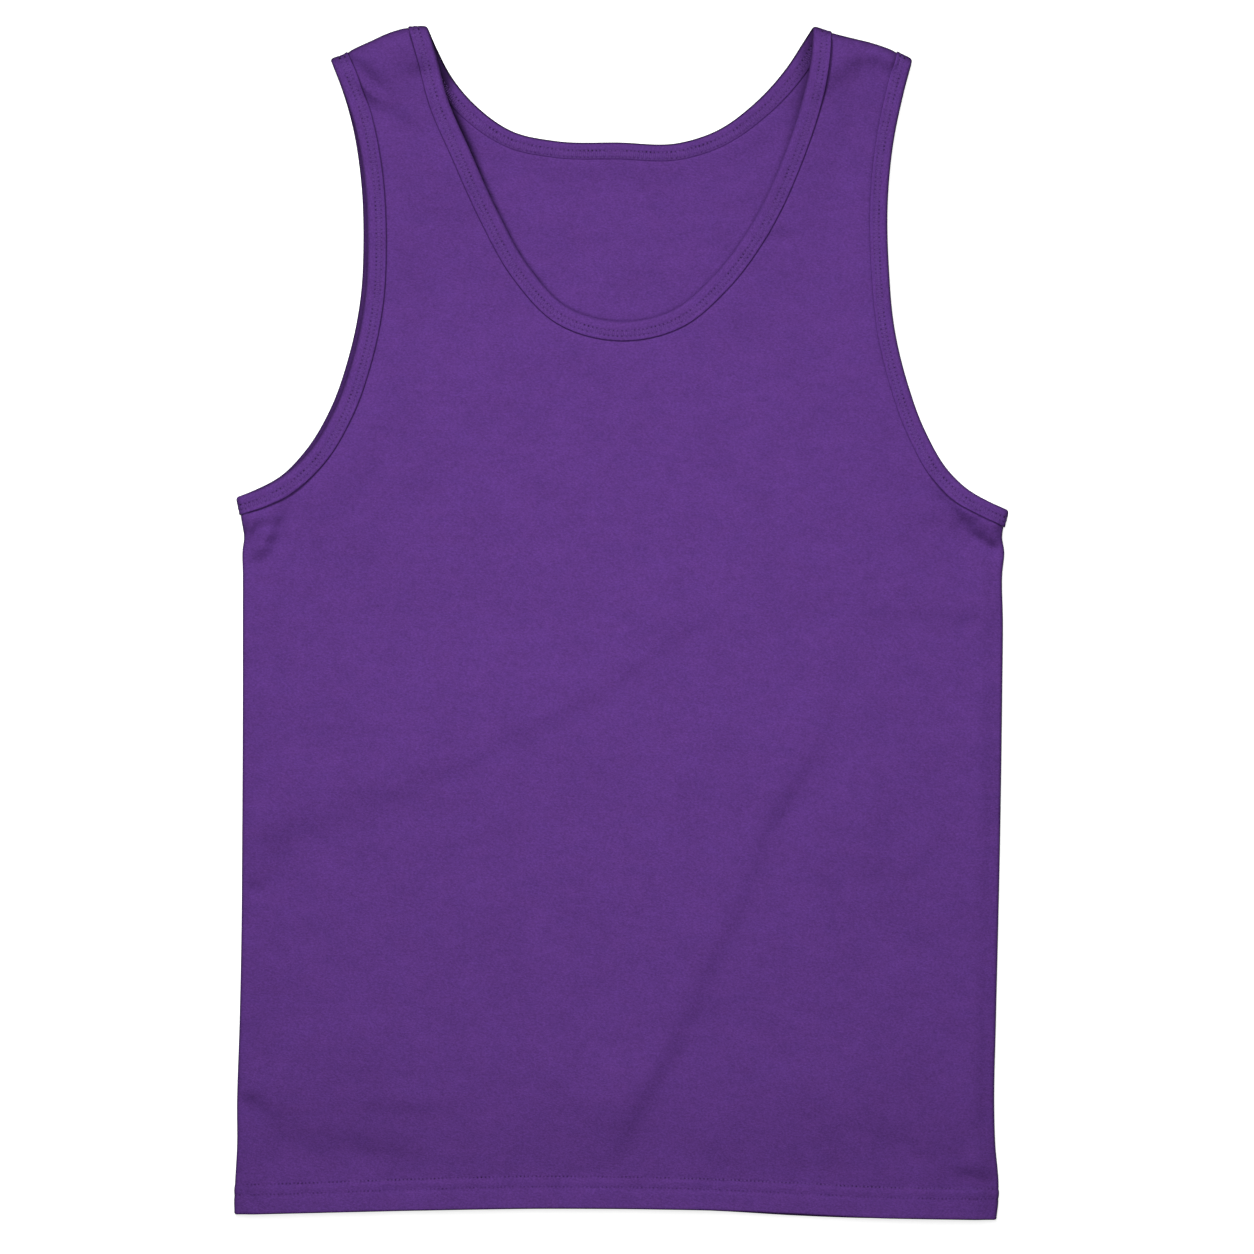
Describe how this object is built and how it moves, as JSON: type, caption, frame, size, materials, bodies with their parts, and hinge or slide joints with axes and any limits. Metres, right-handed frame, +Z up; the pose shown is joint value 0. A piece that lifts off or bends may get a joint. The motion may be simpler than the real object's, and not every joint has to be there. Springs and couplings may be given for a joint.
{
  "type": "tank top",
  "caption": "Cotton tank top lying flat, with a scooped front neck, a higher back neck, rib bindings round the neck and armholes, and a turned-up hem.",
  "frame": {"origin": "on the surface that the garment lies on, under the middle of its outline", "axes": "+Z up off the surface, +Y from the hem to the shoulders, +X to the wearer's left, which is the right side seen from above"},
  "size_m": [0.4666, 0.7192, 0.0124],
  "materials": {
    "cotton_jersey": "matt purple cotton single jersey, fine knit",
    "cotton_rib": "matt purple cotton knit folded over the edge"
  },
  "bodies": {
    "root": {"front": "cotton_jersey", "back": "cotton_jersey", "neck_binding": "cotton_rib", "armhole_binding_left": "cotton_rib", "armhole_binding_right": "cotton_rib"}
  },
  "joints": []
}
